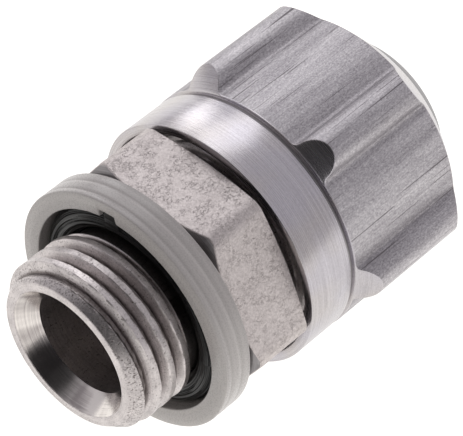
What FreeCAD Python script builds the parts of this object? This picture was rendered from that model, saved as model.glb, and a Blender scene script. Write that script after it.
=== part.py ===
import FreeCAD, Part
import os
import re
import sys

import Sketcher

# Push-in tube fitting, lying on its side. +X runs along its axis from the threaded mouth to the
# tube end, +Z is up, and the origin is the centre of the threaded mouth face.

doc = FreeCAD.newDocument("push_in_fitting")
sheet = doc.addObject("Spreadsheet::Sheet", "Sizes")

sizes = {
    # port thread and seal seat
    "mouth_r": 5.6, "thread_r": 6.5, "thread_chamfer": 1.2, "thread_run_out": 0.35,
    "seal_groove": 2.25, "seal_seat_r": 5.85, "hex_front": 7.65,
    # hexagon, across its flats, with its corners turned down
    "hex_flats": 17.0, "hex_corner_r": 9.66, "hex_length": 5.4, "hex_chamfer_r": 8.45,
    "hex_front_rise": 0.62, "hex_rear_rise": 0.28,
    # spigot that carries the nut
    "nut_gap": 0.4, "neck_r": 7.3, "neck_length": 1.1, "spigot_r": 8.0, "spigot_chamfer": 0.5,
    "spigot_end": 21.0,
    # bores, from the mouth to the tube end
    "sink_r": 4.94, "bore_r": 3.99, "sink_depth": 1.49, "stop_r": 3.1, "stop_land": 0.61,
    "tube_stop": 12.5, "tube_r": 4.0, "tube_play": 0.05, "chamber_start": 17.4,
    "chamber_r": 6.0, "chamber_chamfer": 0.3,
    # support ring around the port seal
    "ring_width": 2.35, "ring_wall": 1.39, "ring_edge": 0.2, "groove_depth": 0.15,
    "groove_start": 0.75, "groove_end": 1.25, "notch_width": 1.5, "notch_depth": 0.55,
    "notch_angle": 79.0,
    # port seal, tube seal and the washer that backs it
    "seal_wire_r": 0.98, "seal_play": 0.05, "tube_seal_play": 0.05, "washer_width": 1.1,
    "washer_play": 0.1,
    # nut
    "collar_r": 9.5, "collar_length": 3.95, "relief_r": 9.2, "relief_width": 0.4,
    "nut_base_r": 9.55, "rib_centre_r": 9.47, "rib_r": 1.49, "rib_count": 6, "rib_foot": 0.45,
    "nut_clear_r": 12.5, "front_cone_angle": 50.5, "rear_cone_angle": 49.5, "rear_cone_start": 28.03,
    "nut_end_r": 7.6, "rim_bore_r": 8.8, "rim_depth": 0.9, "rim_chamfer": 0.2,
    "nut_thread_play": 0.05, "nut_thread_end": 21.6, "cone_front_r": 7.3, "cone_rear_r": 5.9,
    "cone_end": 26.1, "button_seat": 26.6, "button_r": 7.1, "button_play": 0.08,
    # gripping collet
    "collet_play": 0.06, "collet_front": 21.2, "collet_end": 26.0, "jaw_play": 0.12,
    "jaw_length": 1.6, "jaw_bevel": 0.9, "recess_r": 5.45, "lip_width": 0.7, "lip_r": 5.0,
    "slot_width": 0.9, "slot_count": 6, "slot_end": 24.2,
    # release ring, pushed inwards to free the tube
    "sleeve_r": 4.88, "bead_r": 5.3, "bead_width": 0.4, "bead_play": 0.1, "release_play": 0.1,
    "button_front": 27.95, "button_shoulder": 29.95, "button_face_r": 5.25,
    "button_end": 31.4, "button_round": 0.4, "lead_in": 0.35,
}
for row, (alias, size) in enumerate(sizes.items(), start=1):
    sheet.set(f"A{row}", alias)
    sheet.set(f"B{row}", str(size))
    sheet.setAlias(f"B{row}", alias)
doc.recompute()


def bound(text):
    """Write the sheet's name before each alias, so that the text works as an expression."""
    return re.sub(r"[a-z_]+", lambda word: f"Sizes.{word[0]}" if word[0] in sizes else word[0], text)


def number(text):
    return float(sheet.evalExpression(bound(text)))


def new_body(label):
    body = doc.addObject("PartDesign::Body", label)
    body.Label = label
    return body


def plane(body, role):
    return next(item for item in body.Origin.OriginFeatures if item.Role == role)


def new_sketch(body, name, role="XY_Plane", height=None):
    """Attach a sketch to one of the body's planes, or at a bound height above it."""
    sketch = body.newObject("Sketcher::SketchObject", name)
    sketch.AttachmentSupport = [(plane(body, role), "")]
    sketch.MapMode = "FlatFace"
    if height:
        sketch.setExpression("AttachmentOffset.Base.z", bound(height))
    return sketch


def outline(body, name, corners, role="XY_Plane", height=None):
    """Draw a closed outline whose corners are all bound to the sheet."""
    sketch = new_sketch(body, name, role, height)
    places = [FreeCAD.Vector(number(across), number(up), 0) for across, up in corners]
    for index, place in enumerate(places):
        sketch.addGeometry(Part.LineSegment(place, places[(index + 1) % len(places)]), False)
    for index, (across, up) in enumerate(corners):
        sketch.addConstraint(Sketcher.Constraint("Coincident", index, 2, (index + 1) % len(corners), 1))
        for kind, size, text in (("DistanceX", places[index].x, across), ("DistanceY", places[index].y, up)):
            constraint = sketch.addConstraint(Sketcher.Constraint(kind, -1, 1, index, 1, size))
            sketch.setExpression(f"Constraints[{constraint}]", bound(text))
    doc.recompute()
    return sketch


def circle(body, name, centre, radius, role, height):
    """Draw a circle on the sketch's first axis, with its centre and radius bound to the sheet."""
    sketch = new_sketch(body, name, role, height)
    middle = FreeCAD.Vector(number(centre), 0, 0)
    sketch.addGeometry(Part.Circle(middle, FreeCAD.Vector(0, 0, 1), number(radius)), False)
    sizes_of_circle = [("Radius", (0,), number(radius), radius),
                       ("DistanceX", (-1, 1, 0, 3), middle.x, centre),
                       ("DistanceY", (-1, 1, 0, 3), 0, "0")]
    for kind, where, size, text in sizes_of_circle:
        constraint = sketch.addConstraint(Sketcher.Constraint(kind, *where, size))
        sketch.setExpression(f"Constraints[{constraint}]", bound(text))
    doc.recompute()
    return sketch


def turn(body, name, corners, kind="PartDesign::Revolution"):
    """Revolve an outline of (place along the axis, radius) corners about the fitting's axis."""
    sketch = outline(body, name + "_outline", corners)
    feature = body.newObject(kind, name)
    feature.Profile = sketch
    feature.ReferenceAxis = (sketch, ["H_Axis"])
    feature.Angle = 360
    doc.recompute()
    return feature


def cut_round(body, name, corners):
    return turn(body, name, corners, "PartDesign::Groove")


def pad(body, name, sketch, length):
    feature = body.newObject("PartDesign::Pad", name)
    feature.Profile = sketch
    feature.setExpression("Length", bound(length))
    doc.recompute()
    return feature


def repeat(body, name, feature, count):
    """Repeat a feature round the fitting's axis."""
    pattern = body.newObject("PartDesign::PolarPattern", name)
    pattern.Originals = [feature]
    pattern.Axis = (plane(body, "X_Axis"), [""])
    pattern.Angle = 360
    pattern.setExpression("Occurrences", bound(count))
    body.Tip = pattern
    doc.recompute()
    return pattern


def make_body():
    """Hexagon body with its port thread blank, seal seat, nut spigot and stepped bore."""
    body = new_body("body")
    hexagon = body.newObject("PartDesign::AdditivePrism", "hexagon")
    hexagon.AttachmentSupport = [(plane(body, "YZ_Plane"), "")]
    hexagon.MapMode = "FlatFace"
    hexagon.Polygon = 6
    hexagon.setExpression("AttachmentOffset.Base.z", bound("hex_front"))
    hexagon.setExpression("Circumradius", bound("hex_flats / 2 / cos(30 deg)"))
    hexagon.setExpression("Height", bound("hex_length"))
    doc.recompute()
    clear = "nut_clear_r"
    rear = "hex_front + hex_length"
    cut_round(body, "hexagon_corners", [
        ("hex_front", clear), ("hex_front", "hex_chamfer_r"),
        ("hex_front + hex_front_rise", "hex_corner_r"),
        (f"{rear} - hex_rear_rise", "hex_corner_r"), (rear, "hex_chamfer_r"), (rear, clear)])
    turn(body, "port_end", [
        ("0", "0"), ("0", "mouth_r"), ("thread_chamfer", "thread_r"),
        ("hex_front - seal_groove - thread_run_out", "thread_r"), ("hex_front - seal_groove", "seal_seat_r"),
        ("hex_front", "seal_seat_r"), ("hex_front + hex_length / 2", "seal_seat_r"),
        ("hex_front + hex_length / 2", "0")])
    turn(body, "nut_spigot", [
        ("hex_front + hex_length / 2", "0"), ("hex_front + hex_length / 2", "neck_r"),
        (f"{rear} + neck_length", "neck_r"),
        (f"{rear} + neck_length + spigot_r - neck_r", "spigot_r"),
        ("spigot_end - spigot_chamfer", "spigot_r"), ("spigot_end", "spigot_r - spigot_chamfer"),
        ("spigot_end", "0")])
    cut_round(body, "stepped_bore", [
        ("0", "0"), ("0", "sink_r"), ("sink_depth", "bore_r"),
        ("tube_stop - stop_land - (bore_r - stop_r)", "bore_r"),
        ("tube_stop - stop_land", "stop_r"), ("tube_stop", "stop_r"),
        ("tube_stop", "tube_r + tube_play"), ("chamber_start", "tube_r + tube_play"),
        ("chamber_start", "chamber_r"), ("spigot_end - chamber_chamfer", "chamber_r"),
        ("spigot_end", "chamber_r + chamber_chamfer"), ("spigot_end", "0")])
    return body


def make_support_ring():
    """Plastic ring that keeps the port seal in place, with a notch for the seal's tab."""
    body = new_body("support_ring")
    front, inner = "hex_front - ring_width", ring_inner_r()
    outer = f"{inner} + ring_wall"
    turn(body, "ring", [
        (f"{front} + ring_edge", inner), (front, f"{inner} + ring_edge"), (front, f"{outer} - ring_edge"),
        (f"{front} + ring_edge", outer), (f"{front} + groove_start", outer),
        (f"{front} + (groove_start + groove_end) / 2", f"{outer} - groove_depth"),
        (f"{front} + groove_end", outer), ("hex_front - ring_edge", outer),
        ("hex_front", f"{outer} - ring_edge"), ("hex_front", inner)])
    notch = outline(body, "notch_outline", notch_corners("0"), "YZ_Plane", front)
    notch.setExpression("AttachmentOffset.Rotation.Angle", bound("notch_angle"))
    cut = body.newObject("PartDesign::Pocket", "notch")
    cut.Profile = notch
    cut.Reversed = True
    cut.setExpression("Length", bound("ring_width / 2"))
    doc.recompute()
    return body


def ring_inner_r():
    """Inner radius of the support ring, which takes in the port seal with its play."""
    return "(seal_seat_r + 2 * seal_wire_r + 2 * seal_play)"


def notch_corners(play):
    """Corners of the ring's notch, or of the tab that fills it less the given play."""
    side = f"notch_width / 2 - {play}"
    top = f"{ring_inner_r()} + notch_depth - {play}"
    bottom = f"{ring_inner_r()} - seal_wire_r"
    return [(bottom, side), (bottom, f"-({side})"), (top, f"-({side})"), (top, side)]


def make_thread_seal():
    """Rubber ring on the seal seat, with the tab that sits in the support ring's notch."""
    body = new_body("thread_seal")
    ring = body.newObject("PartDesign::AdditiveTorus", "rubber_ring")
    ring.AttachmentSupport = [(plane(body, "YZ_Plane"), "")]
    ring.MapMode = "FlatFace"
    ring.setExpression("AttachmentOffset.Base.z", bound("hex_front - seal_wire_r"))
    ring.setExpression("Radius1", bound("seal_seat_r + seal_play + seal_wire_r"))
    ring.setExpression("Radius2", bound("seal_wire_r"))
    doc.recompute()
    tab = outline(body, "tab_outline", notch_corners("seal_play"), "YZ_Plane",
                  "hex_front - ring_width + ring_edge + seal_play")
    tab.setExpression("AttachmentOffset.Rotation.Angle", bound("notch_angle"))
    pad(body, "tab", tab, "ring_width / 2 - ring_edge - 2 * seal_play")
    return body


def make_tube_seal():
    """Rubber ring that seals on the tube, at the bottom of the seal chamber."""
    body = new_body("tube_seal")
    wire = "(chamber_r - tube_r - 3 * tube_seal_play) / 2"
    ring = body.newObject("PartDesign::AdditiveTorus", "rubber_ring")
    ring.AttachmentSupport = [(plane(body, "YZ_Plane"), "")]
    ring.MapMode = "FlatFace"
    ring.setExpression("AttachmentOffset.Base.z", bound(f"chamber_start + tube_seal_play + {wire}"))
    ring.setExpression("Radius1", bound(f"chamber_r - tube_seal_play - {wire}"))
    ring.setExpression("Radius2", bound(wire))
    doc.recompute()
    return body


def make_backup_washer():
    """Washer that closes the seal chamber and carries the push of the tube."""
    body = new_body("backup_washer")
    rear = "spigot_end - washer_play"
    turn(body, "washer", [
        (f"{rear} - washer_width", "tube_r + washer_play"),
        (f"{rear} - washer_width", "chamber_r - tube_seal_play"),
        (f"{rear} - chamber_chamfer", "chamber_r - tube_seal_play"),
        (rear, "chamber_r - chamber_chamfer"), (rear, "tube_r + washer_play")])
    return body


def bar_foot_edges(shape):
    """Names of the straight edges where the ribs meet the round bar."""
    names = []
    for index, edge in enumerate(shape.Edges, start=1):
        if len(edge.Vertexes) == 2 and edge.Curve.TypeId == "Part::GeomLine":
            start = edge.Vertexes[0].Point
            along = abs(edge.Vertexes[1].X - edge.Vertexes[0].X)
            radius = (start.y ** 2 + start.z ** 2) ** 0.5
            if along > 1 and abs(radius - number("nut_base_r")) < 0.01:
                names.append(f"Edge{index}")
    return names


def make_nut():
    """Ribbed nut turned from a six-ribbed bar, with its collar, conical ends and collet cone."""
    body = new_body("nut")
    front = "hex_front + hex_length + nut_gap"
    reach = "(nut_base_r - nut_end_r) / tan(rear_cone_angle * 1 deg)"
    rear = f"rear_cone_start + {reach}"
    length = f"{rear} - ({front})"
    pad(body, "bar", circle(body, "bar_section", "0", "nut_base_r", "YZ_Plane", front), length)
    rib = pad(body, "rib", circle(body, "rib_section", "rib_centre_r", "rib_r", "YZ_Plane", front), length)
    ribs = repeat(body, "ribs", rib, "rib_count")
    feet = body.newObject("PartDesign::Fillet", "rib_feet")
    feet.Base = (ribs, bar_foot_edges(ribs.Shape))
    feet.setExpression("Radius", bound("rib_foot"))
    doc.recompute()
    collar_end = f"{front} + collar_length"
    cone_start = f"{collar_end} + relief_width"
    cut_round(body, "collar_and_front_cone", [
        (front, "nut_clear_r"), (front, "collar_r - rim_chamfer"), (f"{front} + rim_chamfer", "collar_r"),
        (collar_end, "collar_r"), (f"{collar_end} + relief_width / 4", "relief_r"),
        (f"{cone_start} - relief_width / 4", "relief_r"), (cone_start, "collar_r"),
        (f"{cone_start} + (nut_clear_r - collar_r) / tan(front_cone_angle * 1 deg)", "nut_clear_r")])
    cut_round(body, "rear_cone", [
        ("rear_cone_start - (nut_clear_r - nut_base_r) / tan(rear_cone_angle * 1 deg)", "nut_clear_r"),
        (rear, "nut_end_r"), (rear, "nut_clear_r")])
    cut_round(body, "nut_bores", [
        (front, "0"), (front, "rim_bore_r"), (f"{front} + rim_depth", "rim_bore_r"),
        (f"{front} + rim_depth", "spigot_r + nut_thread_play"),
        ("nut_thread_end", "spigot_r + nut_thread_play"), ("nut_thread_end", "cone_front_r"),
        ("cone_end", "cone_rear_r"), ("button_seat", "cone_rear_r"),
        ("button_seat", "button_r + button_play"), (rear, "button_r + button_play"), (rear, "0")])
    return body


def make_collet():
    """Slotted gripping collet in the nut's cone, with the recess that holds the release ring."""
    body = new_body("collet")
    slope = "(cone_front_r - cone_rear_r) / (cone_end - nut_thread_end)"
    front_r = "cone_front_r - collet_play"
    rear_r = f"cone_front_r - collet_play - (collet_end - nut_thread_end) * {slope}"
    jaw_end = "collet_front + jaw_length"
    turn(body, "sleeve", [
        ("collet_front", "tube_r + jaw_play"), ("collet_front", front_r), ("nut_thread_end", front_r),
        ("collet_end", rear_r), ("collet_end", "lip_r"), ("collet_end - lip_width", "lip_r"),
        ("collet_end - lip_width", "recess_r"), (f"{jaw_end} + jaw_bevel", "recess_r"),
        (jaw_end, "tube_r + jaw_play")])
    slot = outline(body, "slot_outline", [
        ("0", "slot_width / 2"), ("0", "-slot_width / 2"),
        ("nut_clear_r", "-slot_width / 2"), ("nut_clear_r", "slot_width / 2")], "YZ_Plane", "collet_front")
    cut = body.newObject("PartDesign::Pocket", "slot")
    cut.Profile = slot
    cut.Reversed = True
    cut.setExpression("Length", bound("slot_end - collet_front"))
    doc.recompute()
    repeat(body, "slots", cut, "slot_count")
    return body


def make_release_ring():
    """Ring pushed against the collet to free the tube, held by a bead behind the collet's lip."""
    body = new_body("release_ring")
    inner = "tube_r + release_play"
    bead_rear = "collet_end - lip_width - bead_play"
    ring = turn(body, "ring", [
        (f"{bead_rear} - bead_width", inner), (f"{bead_rear} - bead_width", "sleeve_r"),
        (f"{bead_rear} - bead_width / 2", "bead_r"), (bead_rear, "bead_r"), (bead_rear, "sleeve_r"),
        ("button_front", "sleeve_r"), ("button_front", "button_r"), ("button_shoulder", "button_r"),
        ("button_end", "button_face_r"), ("button_end", f"{inner} + lead_in"),
        ("button_end - lead_in", inner)])
    edges = []
    for index, edge in enumerate(ring.Shape.Edges, start=1):
        if edge.Curve.TypeId == "Part::GeomCircle":
            at_shoulder = abs(edge.Curve.Center.x - number("button_shoulder")) < 0.001
            at_end = abs(edge.Curve.Center.x - number("button_end")) < 0.001
            if at_shoulder or (at_end and abs(edge.Curve.Radius - number("button_face_r")) < 0.001):
                edges.append(f"Edge{index}")
    rounds = body.newObject("PartDesign::Fillet", "button_rounds")
    rounds.Base = (ring, edges)
    rounds.setExpression("Radius", bound("button_round"))
    doc.recompute()
    return body


pieces = [make_body(), make_support_ring(), make_thread_seal(), make_tube_seal(), make_backup_washer(),
          make_nut(), make_collet(), make_release_ring()]
doc.recompute()

for item in doc.Objects:
    if "Invalid" in item.State or "Error" in item.State:
        sys.exit(f"{item.Label} failed: {item.State}")
for piece in pieces:
    if piece.Shape.isNull() or not piece.Shape.isValid() or len(piece.Shape.Solids) != 1:
        sys.exit(f"{piece.Label} is not one valid solid")

os.makedirs("parts", exist_ok=True)
for piece in pieces:
    piece.Shape.exportStep(f"parts/{piece.Label}.step")
    box = piece.Shape.BoundBox
    print(f"{piece.Label}: volume {piece.Shape.Volume:.1f}, x {box.XMin:.2f} to {box.XMax:.2f}, "
          f"radius {max(box.YMax, box.ZMax):.2f}")
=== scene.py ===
import math

import bpy
from mathutils import Matrix, Vector


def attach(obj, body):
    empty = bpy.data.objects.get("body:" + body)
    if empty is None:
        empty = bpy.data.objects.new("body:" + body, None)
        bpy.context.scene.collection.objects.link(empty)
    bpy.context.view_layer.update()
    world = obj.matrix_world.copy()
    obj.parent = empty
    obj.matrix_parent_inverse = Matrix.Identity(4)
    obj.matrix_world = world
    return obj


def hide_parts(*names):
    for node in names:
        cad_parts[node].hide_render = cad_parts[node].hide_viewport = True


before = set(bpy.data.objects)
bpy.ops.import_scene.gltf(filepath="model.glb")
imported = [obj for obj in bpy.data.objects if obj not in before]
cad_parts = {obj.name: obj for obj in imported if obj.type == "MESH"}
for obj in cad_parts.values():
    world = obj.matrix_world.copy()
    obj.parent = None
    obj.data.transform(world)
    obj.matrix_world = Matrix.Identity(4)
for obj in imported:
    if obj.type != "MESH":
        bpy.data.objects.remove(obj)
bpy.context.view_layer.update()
print("frame loaded:", sorted(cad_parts))

# Sizes are in millimetres. Angles run from +Y towards +Z.
mm = 0.001
sector = math.radians(60)       # six flats on the hexagon, six ribs on the nut
cornerSteps = 3                 # steps in each rounded corner of an outline


# Turned shapes

def evenly(start, end, count):
    return [start + (end - start) * step / (count - 1) for step in range(count)]


def allRound(count):
    return [2 * math.pi * step / count for step in range(count)]


# Rounds each corner of a closed outline, always with the same number of points
def softened(corners, width, steps=cornerSteps):
    mostOfEdge, shortest = 0.42, 1e-6       # two roundings on an edge never meet
    points = []
    for index, corner in enumerate(corners):
        here = Vector(corner)
        before = Vector(corners[index - 1]) - here
        after = Vector(corners[(index + 1) % len(corners)]) - here
        start = here + before * min(mostOfEdge, width / max(before.length, shortest))
        end = here + after * min(mostOfEdge, width / max(after.length, shortest))
        for step in range(steps + 1):
            share = step / steps
            points.append(start * (1 - share) ** 2 + here * 2 * share * (1 - share) + end * share ** 2)
    return points


def addPiece(name, points, faces, sharpAngle=32):
    mesh = bpy.data.meshes.new(name)
    mesh.from_pydata([Vector(point) * mm for point in points], [], faces)
    mesh.polygons.foreach_set("use_smooth", [True] * len(faces))
    mesh.set_sharp_from_angle(angle=math.radians(sharpAngle))
    piece = bpy.data.objects.new(name, mesh)
    bpy.context.scene.collection.objects.link(piece)
    return piece


# outlineAt(angle) gives a closed outline of (place along the axis, radius), as many points at each angle.
# zoneOf(row) gives the number of the material on a row of faces.
def turned(name, angles, outlineAt, zoneOf=None):
    outlines = [outlineAt(angle) for angle in angles]
    rows, wide = len(outlines[0]), len(angles)
    points, faces = [], []
    for row in range(rows):
        below = (row + 1) % rows
        for side, angle in enumerate(angles):
            along, radius = outlines[side][row]
            points.append((along, radius * math.cos(angle), radius * math.sin(angle)))
            turn = (side + 1) % wide
            faces.append((row * wide + side, row * wide + turn, below * wide + turn, below * wide + side))
    piece = addPiece(name, points, faces)
    if zoneOf:
        zones = [zoneOf(row) for row in range(rows) for side in range(wide)]
        piece.data.polygons.foreach_set("material_index", zones)
    return piece


# How far a right-hand thread lies below its crest, from 0 on the crest to 1 in the root
def threadDepth(along, angle, thread):
    phase = (along / thread["pitch"] - angle / (2 * math.pi) + thread["phase"]) % 1
    away = abs(phase - 0.5) * 2
    share = (away - thread["crestShare"]) / (1 - thread["crestShare"] - thread["rootShare"])
    return min(1, max(0, share))


# Shader expressions

def rgba(shade):
    return (*shade, 1)


# A socket that reads like a number in an expression
class Wire:

    def __init__(self, tree, socket=None):
        self.tree, self.socket = tree, socket

    # Any node: its settings and a ramp's stops come first, then the values or links of its sockets
    def add(self, kind, settings=None, inputs=None, output=0):
        node = self.tree.nodes.new(kind)
        for key, value in (settings or {}).items():
            if key == "stops":
                while len(node.color_ramp.elements) < len(value):
                    node.color_ramp.elements.new(1)
                for element, (place, shade) in zip(node.color_ramp.elements, value):
                    element.position = place
                    element.color = rgba(shade)
            else:
                setattr(node, key, value)
        for key, value in (inputs or {}).items():
            if isinstance(value, Wire):
                self.tree.links.new(value.socket, node.inputs[key])
            else:
                node.inputs[key].default_value = value
        return Wire(self.tree, node.outputs[output])

    def math(self, operation, *values):
        return self.add("ShaderNodeMath", {"operation": operation}, dict(enumerate(values)))

    def __add__(self, other):
        return self.math("ADD", self, other)

    def __mul__(self, other):
        return self.math("MULTIPLY", self, other)

    def __sub__(self, other):
        return self.math("SUBTRACT", self, other)

    def __rsub__(self, other):
        return self.math("SUBTRACT", other, self)

    __radd__ = __add__
    __rmul__ = __mul__

    # 0 at low and 1 at high, with a straight ramp between them
    def between(self, low, high):
        return self.add("ShaderNodeMapRange", {"clamp": True},
                        {"Value": self, "From Min": low, "From Max": high})

    # The first colour where this is 0, the second where it is 1
    def blend(self, first, second):
        first, second = (shade if isinstance(shade, Wire) else rgba(shade) for shade in (first, second))
        return self.add("ShaderNodeMix", {"data_type": "RGBA"}, {0: self, 6: first, 7: second}, 2)

    # The three parts of a vector
    def parts(self):
        split = self.add("ShaderNodeSeparateXYZ", {}, {0: self})
        return [Wire(self.tree, part) for part in split.socket.node.outputs]


def shaderOf(material):
    return material.node_tree.nodes["Principled BSDF"]


# A new material, with what is the same all over it
def startLook(name, fixed):
    material = bpy.data.materials.new(name)
    material.use_nodes = True
    for socket, value in fixed.items():
        shaderOf(material).inputs[socket].default_value = value
    return material


# Object coordinates in millimetres
def placeIn(material):
    place = Wire(material.node_tree).add("ShaderNodeTexCoord", output="Object")
    return place.add("ShaderNodeVectorMath", {"operation": "SCALE"}, {0: place, "Scale": 1 / mm})


# Place along the axis, radius and angle, as one vector
def aroundAxis(place):
    along, across, up = place.parts()
    radius = place.math("SQRT", across * across + up * up)
    angle = place.math("ARCTAN2", up, across)
    return place.add("ShaderNodeCombineXYZ", {}, {0: along, 1: radius, 2: angle})


# Noise in repeats per millimetre, and per radian around the axis: one number, or one for each direction
def grained(place, scale, detail=3, roughness=0.6, offset=(0, 0, 0)):
    scale = scale if isinstance(scale, tuple) else (scale,) * 3
    spread = place.add("ShaderNodeVectorMath", {"operation": "MULTIPLY_ADD"}, {0: place, 1: scale, 2: offset})
    grain = {"Vector": spread, "Scale": 1, "Detail": detail, "Roughness": roughness}
    return place.add("ShaderNodeTexNoise", {}, grain, "Fac")


def feed(shader, wires):
    for socket, wire in wires.items():
        wire.tree.links.new(wire.socket, shader.inputs[socket])


# Joins colour, roughness and bump to a material's shader
def completed(material, look, shade, gloss, height):
    low, high = look["rough"]
    strength, depth = look["bump"]
    bump = {"Strength": strength, "Distance": depth * mm, "Height": height}
    normal = height.add("ShaderNodeBump", {}, bump, "Normal")
    feed(shaderOf(material), {"Base Color": shade, "Roughness": gloss * (high - low) + low, "Normal": normal})
    return material


# Materials. A look holds colours, roughness, grain sizes, the share of each noise in the tone, and the span
# of noise or place that each mask ramps over.

platedLook = {
    "pit": (0.27, 0.24, 0.23), "dark": (0.45, 0.41, 0.40), "light": (0.69, 0.64, 0.625),
    "rough": (0.36, 0.54), "bump": (0.6, 0.05), "grain": 5.5, "blotch": 0.5, "shares": (0.8, 0.2),
    "tone": (0.34, 0.64), "crease": (2.0, 3.2, 3.2), "creaseWidth": 0.018, "creaseDepth": 0.4,
    "smooth": 1.6, "smoothSpan": (0.42, 0.58)}


# Nickel plate over the rough flats of the hexagon, with thin wandering creases between its smooth patches
def makePlated(look):
    material = startLook("platedFlats", {"Metallic": 1.0})
    place = placeIn(material)
    grain = grained(place, look["grain"], 4, 0.75)
    blotch = grained(place, look["blotch"], 3, 0.5, (4, 1, 7))
    wander = grained(place, look["crease"], 4, 0.72, (9, 2, 3))
    offCrease = place.math("ABSOLUTE", wander - 0.5).between(0, look["creaseWidth"])
    smooth = grained(place, look["smooth"], 2, 0.5, (1, 8, 5)).between(*look["smoothSpan"])
    whole = place.math("MAXIMUM", offCrease, smooth)
    grainShare, blotchShare = look["shares"]
    tone = (grain * grainShare + blotch * blotchShare).between(*look["tone"])
    shade = whole.blend(look["pit"], tone.blend(look["dark"], look["light"]))
    return completed(material, look, shade, grain, grain + whole * look["creaseDepth"] + blotch)


portLook = {
    "pit": (0.13, 0.11, 0.105), "dark": (0.40, 0.37, 0.37), "light": (0.70, 0.655, 0.645),
    "rough": (0.28, 0.44), "bump": (0.45, 0.025), "grain": 7.0, "lines": (11.0, 11.0, 0.5), "lineDepth": 0.5,
    "patch": 0.8, "shares": (0.45, 0.25, 0.3), "tone": (0.37, 0.62),
    "pits": (4.5, 8.0, 8.0), "pitSpan": (0.30, 0.42), "pitDepth": 0.8,
    "rim": (0.0, 0.12), "chamfer": (1.3, 1.0), "chamferPits": -0.06,
    "rootFloor": (5.68, 5.73), "rootTop": (6.0, 5.82), "rootStart": (0.6, 0.9), "rootPaintedShadePits": -0.05,
    "rootPaintedShade": 0.85}


# Nickel plate on the turned port end, pitted on the chamfer at its mouth, with painted shade darkening the
# thread's root and the seal's seat
def makePort(look):
    material = startLook("platedPort", {"Metallic": 1.0})
    place = placeIn(material)
    around = aroundAxis(place)
    along, radius = around.parts()[:2]
    lines = grained(around, look["lines"], 2, 0.5)
    grain = grained(place, look["grain"], 4, 0.75)
    patch = grained(place, look["patch"], 2, 0.5, (2, 6, 1))
    pits = grained(place, look["pits"], 3, 0.7, (5, 5, 2))
    # Painted shade: the thread's root and the seal's seat are darkened towards the pit colour and given extra
    # dark pits
    paintedRootShade = radius.between(*look["rootFloor"]) * radius.between(*look["rootTop"])
    paintedRootShade = paintedRootShade * along.between(*look["rootStart"])
    chamfer = along.between(*look["chamfer"]) * along.between(*look["rim"])
    clearOfPitsAndPaintedShade = (pits + chamfer * look["chamferPits"] + paintedRootShade * look["rootPaintedShadePits"]).between(*look["pitSpan"])
    clearOfPitsAndPaintedShade = clearOfPitsAndPaintedShade * (1 - paintedRootShade * look["rootPaintedShade"])
    grainShare, lineShare, patchShare = look["shares"]
    tone = (grain * grainShare + lines * lineShare + patch * patchShare).between(*look["tone"])
    shade = clearOfPitsAndPaintedShade.blend(look["pit"], tone.blend(look["dark"], look["light"]))
    height = grain + lines * look["lineDepth"] + clearOfPitsAndPaintedShade * look["pitDepth"]
    return completed(material, look, shade, grain, height)


sinkLook = {
    "dark": (0.34, 0.31, 0.305), "light": (0.74, 0.70, 0.67), "rough": (0.14, 0.24), "bump": (0.25, 0.015),
    "paintedReflectionStreaks": (0.15, 0.15, 2.6), "lines": (12.0, 12.0, 0.8), "shares": (0.7, 0.3), "tone": (0.40, 0.60)}


# The bright countersink at the mouth, with streaks of painted reflection around it
def makeSink(look):
    material = startLook("turnedSink", {"Metallic": 1.0})
    around = aroundAxis(placeIn(material))
    # Painted reflections: light and dark streaks around the countersink
    paintedReflectionStreaks = grained(around, look["paintedReflectionStreaks"], 2, 0.55, (0, 0, 4))
    lines = grained(around, look["lines"])
    paintedStreakShare, lineShare = look["shares"]
    tone = (paintedReflectionStreaks * paintedStreakShare + lines * lineShare).between(*look["tone"])
    return completed(material, look, tone.blend(look["dark"], look["light"]), lines, lines)


turnedLook = {
    "dark": (0.40, 0.385, 0.395), "light": (0.57, 0.555, 0.565), "rough": (0.20, 0.33),
    "bump": (0.3, 0.015), "lines": (15.0, 15.0, 1.2), "speck": 9.0, "shares": (0.65, 0.35),
    "tone": (0.34, 0.64), "warm": (1.0, 0.975, 0.955), "cool": (0.965, 0.955, 1.0), "cloud": 0.22,
    "cloudSpan": (0.4, 0.6)}


# Aluminium with the fine rings that a turning tool leaves, slightly warm and cool in clouds
def makeTurned(look):
    material = startLook("turnedAluminium", {"Metallic": 1.0})
    place = placeIn(material)
    lines = grained(aroundAxis(place), look["lines"], 3, 0.7)
    speck = grained(place, look["speck"], 2, 0.6, (7, 3, 1))
    cloud = grained(place, look["cloud"], 2, 0.5, (3, 0, 5))
    lineShare, speckShare = look["shares"]
    tone = (lines * lineShare + speck * speckShare).between(*look["tone"])
    tint = cloud.between(*look["cloudSpan"]).blend(look["cool"], look["warm"])
    shade = place.add("ShaderNodeMix", {"data_type": "RGBA", "blend_type": "MULTIPLY"},
                      {0: 1.0, 6: tone.blend(look["dark"], look["light"]), 7: tint}, 2)
    return completed(material, look, shade, lines, lines)


satinLook = {
    "dark": (0.34, 0.335, 0.34), "light": (0.52, 0.51, 0.52), "edge": (0.6, 0.6, 0.6), "rough": (0.30, 0.42),
    "lines": (14, 14, 0.8), "tone": (0.36, 0.64), "bump": (0.3, 0.015)}
# A darker copy of the satin, painted shade for the hexagon's chamfers and the nut's relief
paintedShadeSatinLook = {**satinLook, "dark": (0.20, 0.19, 0.195), "light": (0.34, 0.325, 0.33), "edge": (0.3, 0.3, 0.3)}
brassLook = {
    "dark": (0.42, 0.30, 0.14), "light": (0.78, 0.60, 0.32), "edge": (1, 1, 1), "rough": (0.25, 0.42),
    "lines": (16, 16, 0.5), "tone": (0.35, 0.65), "bump": (0.3, 0.02)}


# Finely turned metal: satin on the release ring, a darker satin as painted shade on the hexagon's chamfers
# and in the nut's relief, and the brass of the pieces inside
def makeFineTurned(name, look):
    material = startLook(name, {"Metallic": 1.0, "Specular Tint": rgba(look["edge"])})
    lines = grained(aroundAxis(placeIn(material)), look["lines"])
    shade = lines.between(*look["tone"]).blend(look["dark"], look["light"])
    return completed(material, look, shade, lines, lines)


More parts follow.
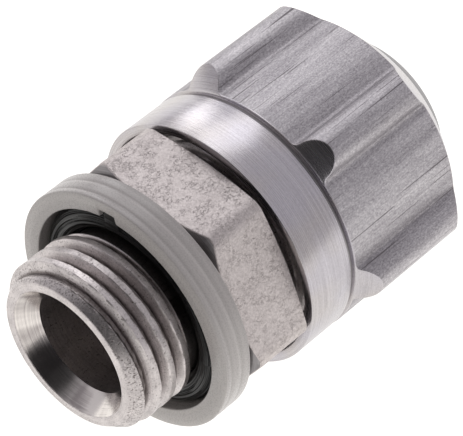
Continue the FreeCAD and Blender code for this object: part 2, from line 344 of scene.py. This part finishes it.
drawnLook = {
    "stops": [(0.0, (0.26, 0.245, 0.26)), (0.5, (0.45, 0.43, 0.45)), (1.0, (0.68, 0.66, 0.67))],
    "rough": (0.42, 0.58), "streak": (0.06, 1.1, 1.1), "hair": (0.4, 9.0, 9.0), "speck": (6.0, 11.0, 11.0),
    "shares": (0.3, 0.2, 0.5), "tone": (0.36, 0.62), "footStart": (0.10, 0.15), "footEnd": (0.26, 0.20),
    "footPaintedShade": -0.06, "scratch": (0.17, 0.155, 0.165), "scratches": (0.12, 8.0, 8.0),
    "scratchSpan": (0.31, 0.37), "streakDepth": 1.5, "scratchDepth": 0.4, "bump": (0.35, 0.02)}


# Drawn aluminium bar: grain and thin scratches along it, with painted shade darkening the corners at the feet
# of its ribs
def makeDrawn(look):
    material = startLook("drawnAluminium", {"Metallic": 1.0})
    place = placeIn(material)
    across, up = place.parts()[1:]
    fromRib = place.math("PINGPONG", place.math("ARCTAN2", up, across), sector / 2)
    streak = grained(place, look["streak"], 3, 0.55)
    hair = grained(place, look["hair"], 3, 0.7)
    speck = grained(place, look["speck"], 2, 0.8)
    offScratch = grained(place, look["scratches"], 2, 0.5, (0, 40, 7)).between(*look["scratchSpan"])
    # Painted shade in the corners at the feet of the ribs
    paintedFootShade = fromRib.between(*look["footStart"]) * fromRib.between(*look["footEnd"])
    streakShare, hairShare, speckShare = look["shares"]
    tone = streak * streakShare + hair * hairShare + speck * speckShare + paintedFootShade * look["footPaintedShade"]
    shade = place.add("ShaderNodeValToRGB", {"stops": look["stops"]}, {"Fac": tone.between(*look["tone"])})
    height = hair + streak * look["streakDepth"] + offScratch * look["scratchDepth"]
    return completed(material, look, offScratch.blend(look["scratch"], shade), hair, height)


plasticLook = {
    "shade": (0.55, 0.52, 0.50), "worn": (0.44, 0.415, 0.40), "rough": (0.22, 0.34), "band": (2.6, 1.4, 0.25),
    "skin": 11.0, "shares": (0.7, 0.3), "tone": (0.36, 0.64), "bump": (0.12, 0.015)}


# Grey moulded plastic of the support ring
def makePlastic(look):
    material = startLook("ringPlastic", {"IOR": 1.5})
    place = placeIn(material)
    band = grained(aroundAxis(place), look["band"], 2, 0.5)
    skin = grained(place, look["skin"])
    bandShare, skinShare = look["shares"]
    tone = (band * bandShare + skin * skinShare).between(*look["tone"])
    return completed(material, look, tone.blend(look["worn"], look["shade"]), skin, skin)


rubberLook = {
    "shade": (0.004, 0.004, 0.0045), "dust": (0.012, 0.012, 0.0125), "rough": (0.05, 0.14), "film": 1.6,
    "filmSpan": (0.4, 0.7), "ripple": (3.5, 3.5, 0.25), "bump": (0.8, 0.5)}


# Oiled black rubber
def makeRubber(look):
    material = startLook("oiledRubber", {"IOR": 1.5, "Specular IOR Level": 0.2})
    place = placeIn(material)
    film = grained(place, look["film"], 3, 0.5)
    ripple = grained(aroundAxis(place), look["ripple"], 2, 0.5)
    shade = film.between(*look["filmSpan"]).blend(look["shade"], look["dust"])
    return completed(material, look, shade, film, ripple)


looks = {
    "plated": makePlated(platedLook), "port": makePort(portLook), "sink": makeSink(sinkLook),
    "turned": makeTurned(turnedLook), "satin": makeFineTurned("turnedSatin", satinLook),
    "paintedShadeSatin": makeFineTurned("turnedSatinPaintedShade", paintedShadeSatinLook), "drawn": makeDrawn(drawnLook),
    "plastic": makePlastic(plasticLook), "rubber": makeRubber(rubberLook),
    "brass": makeFineTurned("turnedBrass", brassLook)}
print("materials made:", len(looks))


def dress(piece, body, node, materials):
    for material in materials:
        piece.data.materials.append(material)
    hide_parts(node)
    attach(piece, body)


# Body: port end, hexagon and nut spigot

portEnd = {
    "mouthR": 5.6, "sinkR": 4.94, "sinkSlope": 0.6, "boreR": 3.99, "sinkDepth": 1.49, "chamferEnd": 1.2,
    "thread": {
        "crestR": 6.5, "depth": 0.74, "pitch": 1.337, "phase": 0.54, "crestShare": 0.34, "rootShare": 0.11},
    "threadEnd": 5.4, "runOut": 0.35, "seatR": 5.85, "columns": 280, "rowStep": 0.05, "edge": 0.05}
innerBody = {
    "boreDepth": 11.0, "stopR": 3.1, "tubeStop": 12.5, "socketR": 4.05, "chamberStart": 17.4, "chamberR": 6.0,
    "chamberEdge": 0.3, "neckStart": 8.2, "neckStep": 0.2, "neckR": 7.3, "neckEnd": 14.15, "spigotR": 8.0,
    "spigotEdge": 0.5, "spigotEnd": 21.0, "rootBelowNeck": 0.1, "threadRows": 90,
    "thread": {"depth": 0.85, "pitch": 1.5, "phase": 0.1, "crestShare": 0.2, "rootShare": 0.2}}


def makeTurnedBody():
    port, inner = portEnd, innerBody
    thread, nutThread = port["thread"], inner["thread"]
    rows = evenly(0, port["threadEnd"], int(port["threadEnd"] / port["rowStep"]) + 1)
    nutThreadRows = evenly(inner["neckEnd"], inner["spigotEnd"], inner["threadRows"])
    slope = (thread["crestR"] - port["mouthR"]) / port["chamferEnd"]
    throat = [(inner["spigotEnd"], inner["chamberR"] + inner["chamberEdge"]),
              (inner["spigotEnd"] - inner["chamberEdge"], inner["chamberR"]),
              (inner["chamberStart"], inner["chamberR"]), (inner["chamberStart"], inner["socketR"]),
              (inner["tubeStop"], inner["socketR"]), (inner["tubeStop"], inner["stopR"]),
              (inner["boreDepth"] + port["boreR"] - inner["stopR"], inner["stopR"]),
              (inner["boreDepth"], port["boreR"]), (port["sinkDepth"], port["boreR"])]

    # The thread is cut into a chamfered blank and runs out into the seal's seat
    def portRadius(along, angle):
        blank = min(thread["crestR"], port["mouthR"] + slope * along)
        fade = min(1, max(0, (along - port["threadEnd"] + port["runOut"]) / port["runOut"]))
        top = blank + (port["seatR"] - blank) * fade
        depth = thread["depth"] * threadDepth(along, angle, thread) * (1 - fade)
        return max(top - depth, min(top, thread["crestR"] - thread["depth"]))

    def spigotRadius(along, angle):
        blank = min(inner["spigotR"], inner["neckR"] + along - inner["neckEnd"],
                    inner["spigotR"] - inner["spigotEdge"] + inner["spigotEnd"] - along)
        depth = nutThread["depth"] * threadDepth(along, angle, nutThread)
        return max(blank - depth, min(blank, inner["neckR"] - inner["rootBelowNeck"]))

    def outlineAt(angle):
        edge = port["edge"]
        mouth = [(edge, port["sinkR"] - edge * port["sinkSlope"]), (0, port["sinkR"] + edge),
                 (0, port["mouthR"] - edge)]
        outer = [(along, portRadius(along, angle)) for along in rows if along >= port["rowStep"]]
        hidden = [(inner["neckStart"], port["seatR"]),
                  (inner["neckStart"] + inner["neckStep"], inner["neckR"])]
        spigot = [(along, spigotRadius(along, angle)) for along in nutThreadRows]
        return mouth + outer + hidden + spigot + throat

    sinkRow = len(outlineAt(0)) - 1         # from the bore back to the mouth
    piece = turned("turnedBody", allRound(port["columns"]), outlineAt, lambda row: int(row == sinkRow))
    dress(piece, "body", "body", [looks["port"], looks["sink"]])


hexagon = {
    "front": 7.65, "length": 5.4, "flats": 17.0, "cornerR": 9.66, "coreR": 6.0, "faceR": 8.45,
    "frontRise": 0.62, "rearRise": 0.28, "edge": 0.08, "flatColumns": 19, "cornerColumns": (0.012, 0.052, 4)}


# Columns of a hexagon with a corner at +Y, close together where its corners are turned down
def hexagonAngles(part):
    limit = math.acos(part["flats"] / 2 / part["cornerR"])
    spread = evenly(-limit, limit, part["flatColumns"])
    spread += [limit + step for step in evenly(*part["cornerColumns"])]
    return [(flat + 0.5) * sector + offset for flat in range(6) for offset in spread]


def makeHexagon():
    part = hexagon
    rear = part["front"] + part["length"]
    drop = part["cornerR"] - part["faceR"]
    frontSlope, rearSlope = part["frontRise"] / drop, part["rearRise"] / drop

    def outlineAt(angle):
        reach = min(part["cornerR"], part["flats"] / 2 / math.cos(angle % sector - sector / 2))
        above = reach - part["faceR"]
        corners = [(part["front"], part["coreR"]), (part["front"], part["faceR"]),
                   (part["front"] + above * frontSlope, reach), (rear - above * rearSlope, reach),
                   (rear, part["faceR"]), (rear, part["coreR"])]
        return softened(corners, part["edge"])

    # The chamfers lie between the outline's second and third corners, and its fourth and fifth
    perCorner = cornerSteps + 1
    chamferRows = (2 * perCorner - 1, 4 * perCorner - 1)
    # The chamfers take the darker satin, as painted shade
    piece = turned("hexagon", hexagonAngles(part), outlineAt, lambda row: int(row in chamferRows))
    dress(piece, "body", "body", [looks["plated"], looks["paintedShadeSatin"]])


makeTurnedBody()
makeHexagon()
print("body dressed")


# Support ring and port seal

supportRing = {
    "front": 5.3, "rear": 7.65, "innerR": 7.91, "outerR": 9.3, "grooves": [(0.5, 0.06), (1.45, 0.04)],
    "grooveWidth": 0.36, "edge": 0.14, "notchAngle": 79.0, "notchWidth": 1.5, "notchDepth": 0.55,
    "notchRise": 0.1, "notchWall": 0.012, "notchColumns": (-0.012, -0.004, 0.004, 0.012), "columnGap": 0.02,
    "columns": 240}


def makeSupportRing():
    ring = supportRing
    half = ring["notchWidth"] / 2 / (ring["innerR"] + ring["notchDepth"])
    middle = math.radians(ring["notchAngle"])
    floor = (ring["front"] + ring["rear"]) / 2

    def outlineAt(angle):
        away = abs((angle - middle + math.pi) % (2 * math.pi) - math.pi)
        cut = ring["notchDepth"] * min(1, max(0, (half - away) / ring["notchWall"] + 0.5))
        corners = [(ring["front"], ring["innerR"] + cut), (ring["front"], ring["outerR"])]
        for along, depth in ring["grooves"]:
            centre, reach = ring["front"] + along, ring["grooveWidth"] / 2
            corners += [(centre - reach, ring["outerR"]), (centre, ring["outerR"] - depth),
                        (centre + reach, ring["outerR"])]
        corners += [(ring["rear"], ring["outerR"]), (ring["rear"], ring["innerR"]), (floor, ring["innerR"]),
                    (floor - ring["notchRise"], ring["innerR"] + cut)]
        return softened(corners, ring["edge"])

    # Even columns, apart from a few close ones on each wall of the notch
    angles = [angle for angle in allRound(ring["columns"])
              if abs(abs(angle - middle) - half) > ring["columnGap"]]
    angles += [middle + side * (half + offset) for side in (-1, 1) for offset in ring["notchColumns"]]
    piece = turned("supportRing", sorted(angles), outlineAt)
    dress(piece, "body", "support_ring", [looks["plastic"]])


portSeal = {
    "wireR": 0.98, "play": 0.05, "tabFront": 0.28, "tabEdge": 0.15, "tabSteps": 4, "columns": 160, "rows": 20}


def makePortSeal():
    seal, ring = portSeal, supportRing
    middleR = ring["innerR"] - seal["play"] - seal["wireR"]
    middleX = ring["rear"] - seal["wireR"]

    def outlineAt(angle):
        return [(middleX - seal["wireR"] * math.cos(turn), middleR + seal["wireR"] * math.sin(turn))
                for turn in allRound(seal["rows"])]

    piece = turned("portSeal", allRound(seal["columns"]), outlineAt)

    # The tab that lies in the ring's notch
    bpy.ops.mesh.primitive_cube_add(size=1)
    tab = bpy.context.object
    low, high = ring["innerR"] - seal["wireR"], ring["innerR"] + ring["notchDepth"] - seal["play"]
    front, back = ring["front"] + seal["tabFront"], (ring["front"] + ring["rear"]) / 2 - seal["play"]
    size = Vector((back - front, high - low, ring["notchWidth"] - 2 * seal["play"])) * mm
    centre = Vector(((front + back) / 2, (high + low) / 2, 0)) * mm
    tab.data.transform(Matrix.Rotation(math.radians(ring["notchAngle"]), 4, "X")
                       @ Matrix.Translation(centre) @ Matrix.Diagonal((*size, 1)))
    soften = tab.modifiers.new("tabEdges", "BEVEL")
    soften.width = seal["tabEdge"] * mm
    soften.segments = seal["tabSteps"]
    bpy.ops.object.modifier_apply(modifier=soften.name)
    tab.data.polygons.foreach_set("use_smooth", [True] * len(tab.data.polygons))
    bpy.ops.object.select_all(action="DESELECT")
    tab.select_set(True)
    piece.select_set(True)
    bpy.context.view_layer.objects.active = piece
    bpy.ops.object.join()
    dress(piece, "body", "thread_seal", [looks["rubber"]])


makeSupportRing()
makePortSeal()
print("support ring and port seal dressed")


# Hand nut

handNut = {
    "front": 13.45, "collarR": 9.5, "collarLength": 3.95, "reliefR": 9.2, "reliefWidth": 0.4, "baseR": 9.55,
    "ribCentreR": 9.47, "ribR": 1.49, "footR": 0.45, "frontCone": 50.5, "frontLip": 0.03, "rearCone": 49.5,
    "rearConeStart": 28.03, "endR": 7.6, "rimBoreR": 8.8, "rimDepth": 0.9, "edge": 0.09, "threadBoreR": 8.05,
    "threadBoreEnd": 21.6, "coneFrontR": 7.3, "coneRearR": 5.9, "coneEnd": 26.1, "buttonSeat": 26.6,
    "buttonBoreR": 7.18, "ribColumns": 14, "footColumns": 6, "baseColumns": 10}


# Half a sector of the ribbed bar: the angles where its arcs meet, and its radius at an angle
def ribSection(nut):
    centreR, ribR, footR = nut["ribCentreR"], nut["ribR"], nut["footR"]
    footCentreR, reach = nut["baseR"] + footR, ribR + footR
    footAngle = math.acos((centreR ** 2 + footCentreR ** 2 - reach ** 2) / (2 * centreR * footCentreR))
    share = ribR / reach
    touch = Vector((centreR + (footCentreR * math.cos(footAngle) - centreR) * share,
                    footCentreR * math.sin(footAngle) * share))
    ribAngle = math.atan2(touch.y, touch.x)

    def radiusAt(angle):
        away = abs((angle + sector / 2) % sector - sector / 2)
        if away <= ribAngle:
            return centreR * math.cos(away) + math.sqrt(max(0, ribR ** 2 - (centreR * math.sin(away)) ** 2))
        if away <= footAngle:
            turn = footAngle - away
            reachIn = math.sqrt(max(0, footR ** 2 - (footCentreR * math.sin(turn)) ** 2))
            return footCentreR * math.cos(turn) - reachIn
        return nut["baseR"]

    return ribAngle, footAngle, radiusAt


def makeNut():
    nut = handNut
    ribAngle, footAngle, radiusAt = ribSection(nut)
    steps = [ribAngle * math.sin(step) for step in evenly(0, math.pi / 2, nut["ribColumns"])]
    steps += evenly(ribAngle, footAngle, nut["footColumns"])[1:]
    steps += evenly(footAngle, sector / 2, nut["baseColumns"])[1:]
    angles = []
    for rib in range(6):
        middle = math.radians(60 * rib)
        angles += [middle - step for step in reversed(steps[1:-1])] + [middle + step for step in steps]
    collarEnd = nut["front"] + nut["collarLength"]
    coneStart, quarter = collarEnd + nut["reliefWidth"], nut["reliefWidth"] / 4
    frontSlope, rearSlope = (1 / math.tan(math.radians(nut[cone])) for cone in ("frontCone", "rearCone"))
    rear = nut["rearConeStart"] + (nut["baseR"] - nut["endR"]) * rearSlope
    rimEnd = nut["front"] + nut["rimDepth"]

    def outlineAt(angle):
        reach = radiusAt(angle)
        rise = reach - nut["baseR"]
        corners = [
            (nut["front"], nut["rimBoreR"]), (nut["front"], nut["collarR"]), (collarEnd, nut["collarR"]),
            (collarEnd + quarter, nut["reliefR"]), (coneStart - quarter, nut["reliefR"]),
            (coneStart, nut["baseR"]), (coneStart + nut["frontLip"] + rise * frontSlope, reach),
            (nut["rearConeStart"] - rise * rearSlope, reach), (rear, nut["endR"]),
            (rear, nut["buttonBoreR"]), (nut["buttonSeat"], nut["buttonBoreR"]),
            (nut["buttonSeat"], nut["coneRearR"]), (nut["coneEnd"], nut["coneRearR"]),
            (nut["threadBoreEnd"], nut["coneFrontR"]), (nut["threadBoreEnd"], nut["threadBoreR"]),
            (rimEnd, nut["threadBoreR"]), (rimEnd, nut["rimBoreR"])]
        return softened(corners, nut["edge"])

    # The relief's floor takes the outline's fourth and fifth corners. The drawn ribs run from the middle
    # of its seventh corner to the middle of its eighth.
    perCorner = cornerSteps + 1
    reliefRows = range(3 * perCorner, 5 * perCorner - 1)
    drawnRows = range(6 * perCorner + 2, 7 * perCorner + 2)

    def zoneOf(row):
        if row in drawnRows:
            return 1
        return 2 if row in reliefRows else 0

    # The relief's floor takes the darker satin, as painted shade
    piece = turned("handNut", angles, outlineAt, zoneOf)
    dress(piece, "nut", "nut", [looks["turned"], looks["drawn"], looks["paintedShadeSatin"]])


# Release ring

releaseRing = {
    "boreR": 4.1, "sleeveFront": 24.8, "sleeveR": 4.88, "beadR": 5.3, "beadStart": 25.0, "beadEnd": 25.2,
    "front": 27.95, "buttonR": 7.1, "shoulder": 29.95, "crown": 31.1, "crownR": 6.0, "faceR": 5.6,
    "end": 31.4, "edge": 0.3, "edgeSteps": 5, "leadIn": 0.35, "columns": 160}


def makeReleaseRing():
    ring = releaseRing
    corners = [(ring["sleeveFront"], ring["boreR"]), (ring["sleeveFront"], ring["sleeveR"]),
               (ring["beadStart"], ring["beadR"]), (ring["beadEnd"], ring["beadR"]),
               (ring["beadEnd"], ring["sleeveR"]), (ring["front"], ring["sleeveR"]),
               (ring["front"], ring["buttonR"]), (ring["shoulder"], ring["buttonR"]),
               (ring["crown"], ring["crownR"]), (ring["end"], ring["faceR"]),
               (ring["end"], ring["boreR"] + ring["leadIn"]), (ring["end"] - ring["leadIn"], ring["boreR"])]
    profile = softened(corners, ring["edge"], ring["edgeSteps"])
    piece = turned("releaseRing", allRound(ring["columns"]), lambda angle: profile)
    dress(piece, "release_ring", "release_ring", [looks["satin"]])


makeNut()
makeReleaseRing()

# The pieces inside keep their solids' shapes
for node, look in (("tube_seal", "rubber"), ("backup_washer", "brass"), ("collet", "brass")):
    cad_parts[node].data.materials.clear()
    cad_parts[node].data.materials.append(looks[look])
print("nut, release ring and inner pieces dressed")


# Floor, light and camera

studio = {
    "reach": 900.0, "level": -9.7, "floor": (0.15, 0.15, 0.15), "floorRough": 0.6, "glow": (1.0, 0.985, 0.96),
    "glowStrength": 1.1, "tent": (0.985, 0.955, 1.0), "tentStrength": 0.62,
    "opening": (-0.74, -0.34, 0.58), "openingStrength": 0.04, "openingEdge": (0.58, 0.86), "aim": (16, 0, 0),
    "panels": [
        {"towards": (0.48, 0.46, 0.74), "distance": 300, "size": (150, 150), "glow": 1.4},
        {"towards": (0.50, 0.80, 0.35), "distance": 300, "size": (50, 120), "glow": 2.4}]}
viewer = {
    "place": (-88.27, -87.78, 151.78), "look": (0.5122, 0.4317, -0.7425), "up": (0.5307, 0.5207, 0.6688),
    "lens": 233.26, "sensor": 36.0, "clip": (10, 5000)}


# A glowing floor in a light tent, which is dark where the tent is open, and two soft panels
def makeStudio():
    reach, level = studio["reach"], studio["level"]
    corners = [(-reach, -reach, level), (reach, -reach, level), (reach, reach, level), (-reach, reach, level)]
    floor = addPiece("floor", corners, [(0, 1, 2, 3)])
    floor.data.materials.append(startLook("paleFloor", {
        "Roughness": studio["floorRough"], "Base Color": rgba(studio["floor"]),
        "Emission Color": rgba(studio["glow"]), "Emission Strength": studio["glowStrength"]}))
    world = bpy.data.worlds.new("lightTent")
    bpy.context.scene.world = world
    world.use_nodes = True
    ray = Wire(world.node_tree).add("ShaderNodeTexCoord", output="Generated")
    facing = ray.add("ShaderNodeVectorMath", {"operation": "DOT_PRODUCT"}, {0: ray, 1: studio["opening"]},
                     "Value")
    backdrop = world.node_tree.nodes["Background"]
    backdrop.inputs["Color"].default_value = rgba(studio["tent"])
    dark = facing.between(*studio["openingEdge"]) * (studio["tentStrength"] - studio["openingStrength"])
    feed(backdrop, {"Strength": studio["tentStrength"] - dark})
    aim = Vector(studio["aim"]) * mm
    for number, panel in enumerate(studio["panels"]):
        wide, high = (side * mm for side in panel["size"])
        light = bpy.data.lights.new(f"panel{number}", "AREA")
        light.shape = "RECTANGLE"
        light.size, light.size_y = wide, high
        light.energy = panel["glow"] * math.pi * wide * high
        lamp = bpy.data.objects.new(light.name, light)
        lamp.location = aim + Vector(panel["towards"]).normalized() * panel["distance"] * mm
        lamp.rotation_euler = (aim - lamp.location).to_track_quat("-Z", "Y").to_euler()
        bpy.context.scene.collection.objects.link(lamp)


def makeCamera():
    back = -Vector(viewer["look"]).normalized()
    across = Vector(viewer["up"]).cross(back).normalized()
    up = back.cross(across)
    lens = bpy.data.cameras.new("camera")
    lens.lens, lens.sensor_width = viewer["lens"], viewer["sensor"]
    lens.clip_start, lens.clip_end = (distance * mm for distance in viewer["clip"])
    camera = bpy.data.objects.new("camera", lens)
    camera.matrix_world = Matrix((across, up, back)).transposed().to_4x4()
    camera.location = Vector(viewer["place"]) * mm
    bpy.context.scene.collection.objects.link(camera)
    bpy.context.scene.camera = camera


makeStudio()
makeCamera()
bpy.context.scene.view_settings.view_transform = "Standard"
print("studio and camera set")
